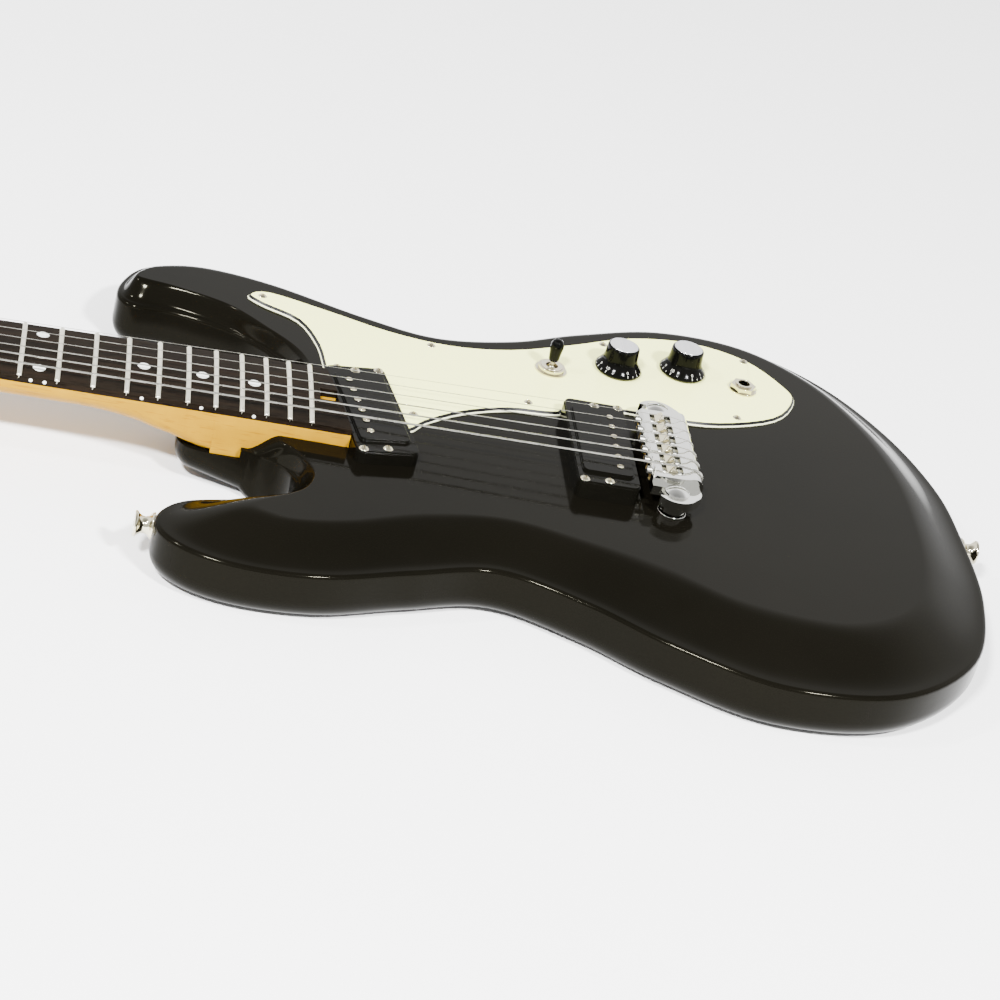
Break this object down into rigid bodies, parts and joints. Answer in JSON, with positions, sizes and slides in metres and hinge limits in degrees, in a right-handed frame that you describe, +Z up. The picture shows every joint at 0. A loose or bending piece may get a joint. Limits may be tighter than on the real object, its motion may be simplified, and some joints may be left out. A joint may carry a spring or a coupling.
{
  "type": "electric guitar",
  "caption": "Black solid-body electric guitar with a carved top, bolt-on maple neck, pale pickguard, twin pickups, wraparound bridge, rotary controls and toggle switch.",
  "frame": {"origin": "on the flat back of the body, under the middle of the saddle line", "axes": "+X along the strings towards the butt end, +Y towards the treble side, +Z up from the back to the strings"},
  "size_m": [0.9785, 0.3493, 0.0595],
  "materials": {
    "body_gloss": "black polyester gloss over wood",
    "maple": "amber gloss lacquer",
    "rosewood": "dark, oiled",
    "fret_wire": "polished nickel silver",
    "bone": "satin",
    "pearl_dot": "pearl plastic",
    "steel": "plain steel",
    "chrome": "mirror chrome",
    "nickel": "polished nickel",
    "guard": "pale mint green, three plies",
    "pickup_black": "gloss black",
    "coil_wire": "enamelled copper wire under tape",
    "magnet": "bare",
    "saddle": "nickel plated",
    "string_wire": "nickel-wound and plain steel",
    "brass": "bare brass",
    "switch_metal": "zinc plated",
    "knob_black": "gloss black with white numerals",
    "knob_silver": "brushed cap"
  },
  "bodies": {
    "root": {"body": "body_gloss", "neck": "maple", "fretboard": "rosewood", "frets": "fret_wire", "nut": "bone", "position_dots": "pearl_dot", "truss_rod": "steel", "truss_rod_nut": "nickel", "neck_plate": "chrome", "neck_screws": "chrome", "strap_buttons": "nickel", "strap_button_screws": "nickel", "pickguard": "guard", "pickguard_screws": "nickel", "neck_pickup_housing": "pickup_black", "neck_pickup_cover": "pickup_black", "bridge_pickup_housing": "pickup_black", "bridge_pickup_cover": "pickup_black", "pole_screws": "nickel", "pickup_screws": "nickel", "pickup_bobbins": "pickup_black", "pickup_coils": "coil_wire", "pickup_magnets": "magnet", "bridge": "chrome", "saddle_screws": "steel", "bridge_studs": "chrome", "stud_bushings": "chrome", "strings": "string_wire", "string_ball_ends": "brass", "toggle_switch": "switch_metal", "pots": "switch_metal", "control_nuts": "nickel", "output_jack": "nickel", "tuner_housings": "chrome"},
    "volume_control": {"volume_knob": "knob_black", "volume_knob_cap": "knob_silver", "volume_pot_shaft": "steel"},
    "tone_control": {"tone_knob": "knob_black", "tone_knob_cap": "knob_silver", "tone_pot_shaft": "steel"},
    "toggle": {"toggle_lever": "nickel", "toggle_tip": "knob_black"},
    "saddle_slide_1": {"saddle_1": "saddle"},
    "key_1": {"tuner_key_1": "chrome"},
    "post_1": {"tuner_post_1": "chrome"},
    "saddle_slide_2": {"saddle_2": "saddle"},
    "key_2": {"tuner_key_2": "chrome"},
    "post_2": {"tuner_post_2": "chrome"},
    "saddle_slide_3": {"saddle_3": "saddle"},
    "key_3": {"tuner_key_3": "chrome"},
    "post_3": {"tuner_post_3": "chrome"},
    "saddle_slide_4": {"saddle_4": "saddle"},
    "key_4": {"tuner_key_4": "chrome"},
    "post_4": {"tuner_post_4": "chrome"},
    "saddle_slide_5": {"saddle_5": "saddle"},
    "key_5": {"tuner_key_5": "chrome"},
    "post_5": {"tuner_post_5": "chrome"},
    "saddle_slide_6": {"saddle_6": "saddle"},
    "key_6": {"tuner_key_6": "chrome"},
    "post_6": {"tuner_post_6": "chrome"}
  },
  "joints": [
    {"name": "volume_turn", "type": "hinge", "parent": "root", "child": "volume_control", "pos_m": [-0.012, 0.097, 0.05], "axis": [0, 0, 1], "range_deg": [0, 300]},
    {"name": "tone_turn", "type": "hinge", "parent": "root", "child": "tone_control", "pos_m": [0.026, 0.107, 0.05], "axis": [0, 0, 1], "range_deg": [0, 300]},
    {"name": "toggle_flip", "type": "hinge", "parent": "root", "child": "toggle", "pos_m": [-0.051, 0.084, 0.0413], "axis": [0, 1, 0], "range_deg": [-12, 12]},
    {"name": "saddle_1_travel", "type": "slide", "parent": "root", "child": "saddle_slide_1", "axis": [1, 0, 0], "range_m": [-0.0025, 0.0025]},
    {"name": "saddle_2_travel", "type": "slide", "parent": "root", "child": "saddle_slide_2", "axis": [1, 0, 0], "range_m": [-0.0025, 0.0025]},
    {"name": "saddle_3_travel", "type": "slide", "parent": "root", "child": "saddle_slide_3", "axis": [1, 0, 0], "range_m": [-0.0025, 0.0025]},
    {"name": "saddle_4_travel", "type": "slide", "parent": "root", "child": "saddle_slide_4", "axis": [1, 0, 0], "range_m": [-0.0025, 0.0025]},
    {"name": "saddle_5_travel", "type": "slide", "parent": "root", "child": "saddle_slide_5", "axis": [1, 0, 0], "range_m": [-0.0025, 0.0025]},
    {"name": "saddle_6_travel", "type": "slide", "parent": "root", "child": "saddle_slide_6", "axis": [1, 0, 0], "range_m": [-0.0025, 0.0025]},
    {"name": "key_1_turn", "type": "hinge", "parent": "root", "child": "key_1", "pos_m": [-0.66403, -0.028, 0.01302], "axis": [0, 1, 0], "continuous": true},
    {"name": "post_1_turn", "type": "hinge", "parent": "root", "child": "post_1", "pos_m": [-0.67183, -0.028, 0.02832], "axis": [-0.0131, 0, 0.9999], "continuous": true},
    {"name": "key_2_turn", "type": "hinge", "parent": "root", "child": "key_2", "pos_m": [-0.69903, -0.028, 0.01256], "axis": [0, 1, 0], "continuous": true},
    {"name": "post_2_turn", "type": "hinge", "parent": "root", "child": "post_2", "pos_m": [-0.70683, -0.028, 0.02786], "axis": [-0.0131, 0, 0.9999], "continuous": true},
    {"name": "key_3_turn", "type": "hinge", "parent": "root", "child": "key_3", "pos_m": [-0.73402, -0.028, 0.0121], "axis": [0, 1, 0], "continuous": true},
    {"name": "post_3_turn", "type": "hinge", "parent": "root", "child": "post_3", "pos_m": [-0.74182, -0.028, 0.0274], "axis": [-0.0131, 0, 0.9999], "continuous": true},
    {"name": "key_4_turn", "type": "hinge", "parent": "root", "child": "key_4", "pos_m": [-0.73402, 0.028, 0.0121], "axis": [0, 1, 0], "continuous": true},
    {"name": "post_4_turn", "type": "hinge", "parent": "root", "child": "post_4", "pos_m": [-0.74182, 0.028, 0.0274], "axis": [-0.0131, 0, 0.9999], "continuous": true},
    {"name": "key_5_turn", "type": "hinge", "parent": "root", "child": "key_5", "pos_m": [-0.69903, 0.028, 0.01256], "axis": [0, 1, 0], "continuous": true},
    {"name": "post_5_turn", "type": "hinge", "parent": "root", "child": "post_5", "pos_m": [-0.70683, 0.028, 0.02786], "axis": [-0.0131, 0, 0.9999], "continuous": true},
    {"name": "key_6_turn", "type": "hinge", "parent": "root", "child": "key_6", "pos_m": [-0.66403, 0.028, 0.01302], "axis": [0, 1, 0], "continuous": true},
    {"name": "post_6_turn", "type": "hinge", "parent": "root", "child": "post_6", "pos_m": [-0.67183, 0.028, 0.02832], "axis": [-0.0131, 0, 0.9999], "continuous": true}
  ],
  "couplings": [
    {"joint": "post_1_turn", "follows": "key_1_turn", "ratio": -0.071429},
    {"joint": "post_2_turn", "follows": "key_2_turn", "ratio": -0.071429},
    {"joint": "post_3_turn", "follows": "key_3_turn", "ratio": -0.071429},
    {"joint": "post_4_turn", "follows": "key_4_turn", "ratio": 0.071429},
    {"joint": "post_5_turn", "follows": "key_5_turn", "ratio": 0.071429},
    {"joint": "post_6_turn", "follows": "key_6_turn", "ratio": 0.071429}
  ]
}
